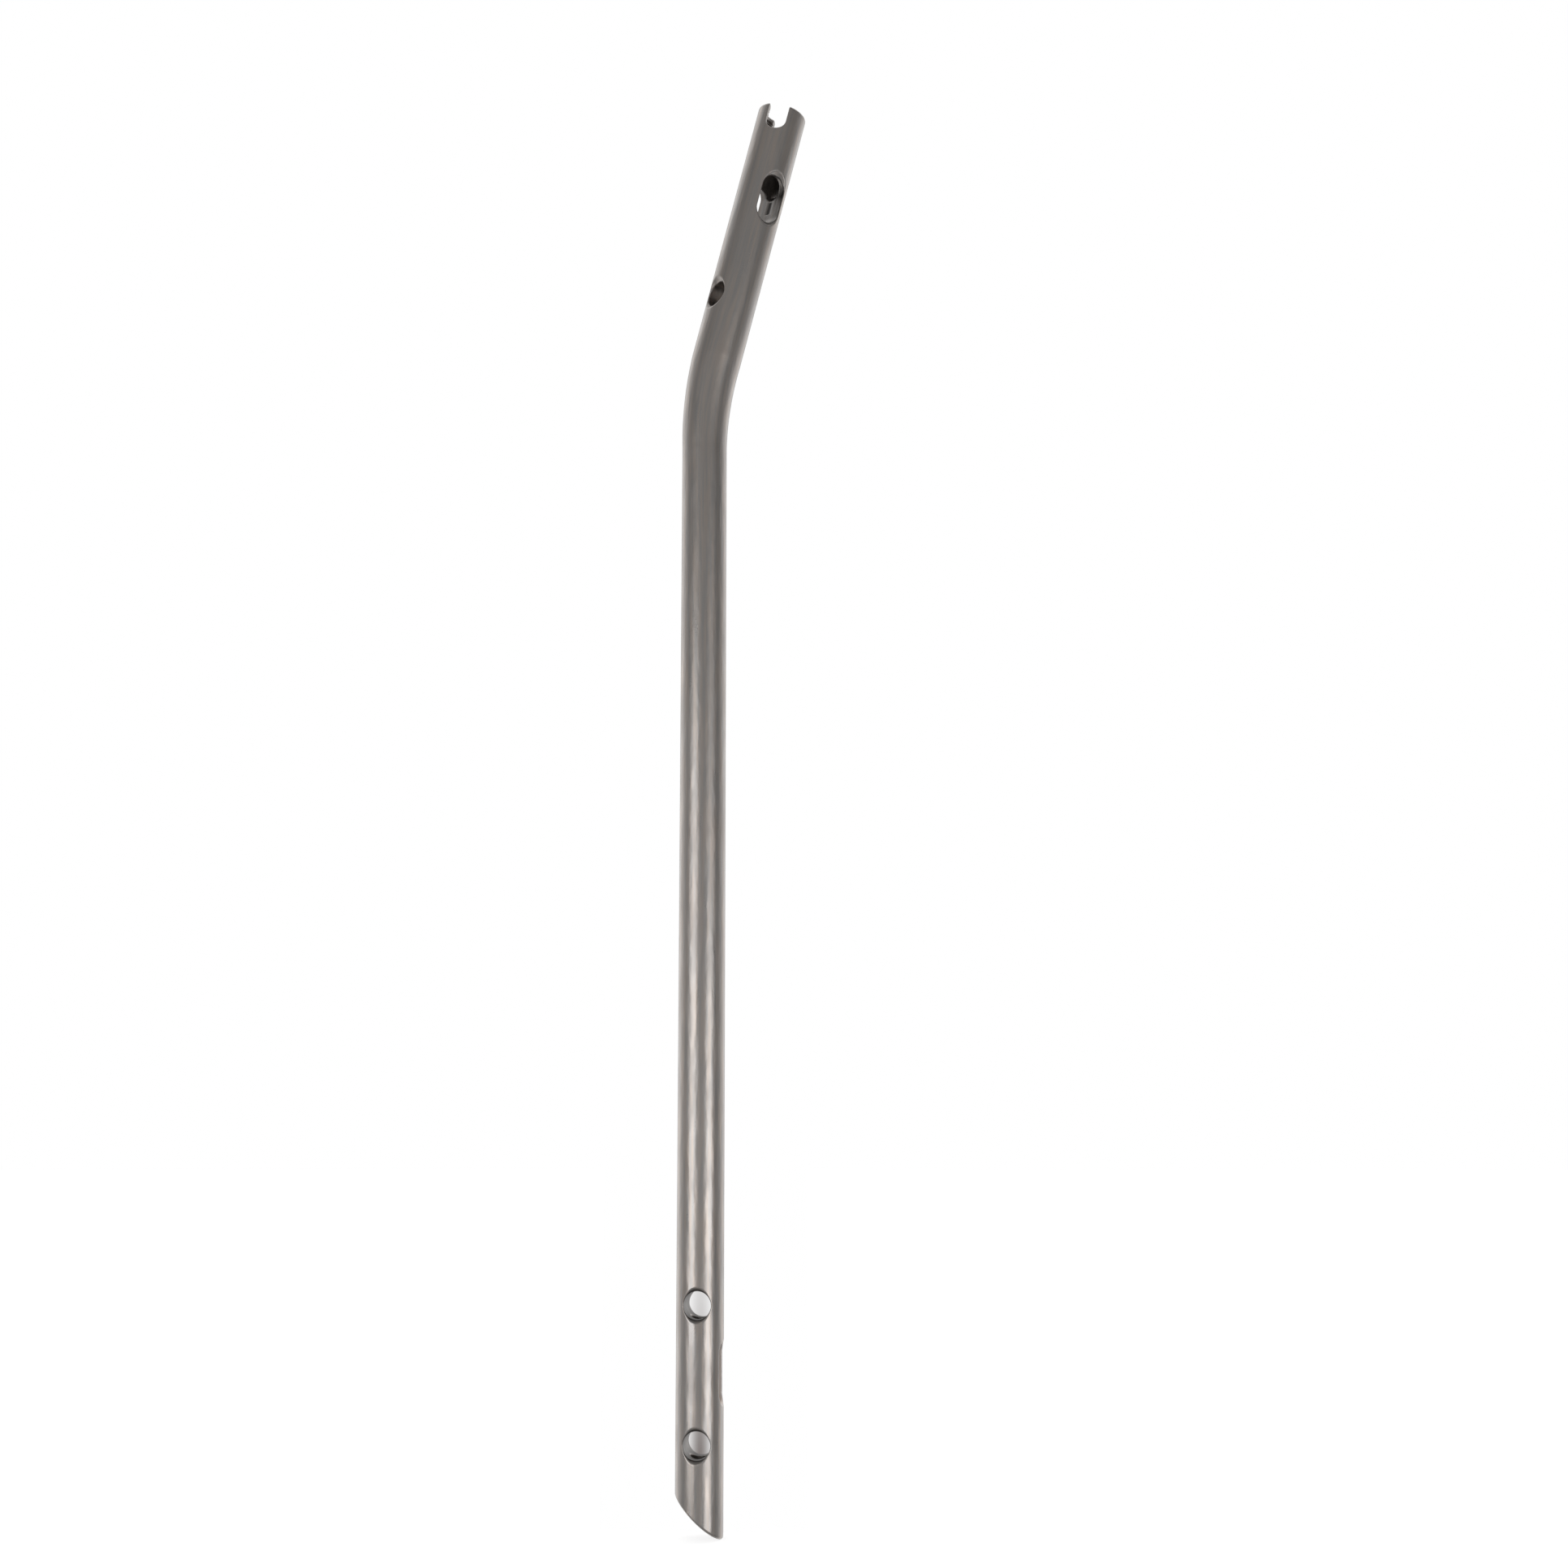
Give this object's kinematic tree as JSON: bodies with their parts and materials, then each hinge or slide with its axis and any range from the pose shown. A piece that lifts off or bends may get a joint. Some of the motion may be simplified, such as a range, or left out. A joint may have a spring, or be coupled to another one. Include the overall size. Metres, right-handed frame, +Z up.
{
  "type": "intramedullary nail",
  "caption": "Cannulated intramedullary nail: a slim bent titanium tube with locking holes and slots, a threaded, notched driving end and a bevelled tip.",
  "frame": {"origin": "on the straight shaft's axis, level with the lowest point of the bevelled tip", "axes": "+Z up along the straight shaft towards the driving end; +X is anterior, the side the driving end leans to; the bend lies in the XZ plane; -Y and +Y are the two sides the far-end locking holes open on"},
  "size_m": [0.0253, 0.01, 0.2842],
  "materials": {
    "titanium": "satin blasted, grey-brown anodised titanium"
  },
  "bodies": {
    "root": {"nail_body": "titanium"}
  },
  "joints": []
}
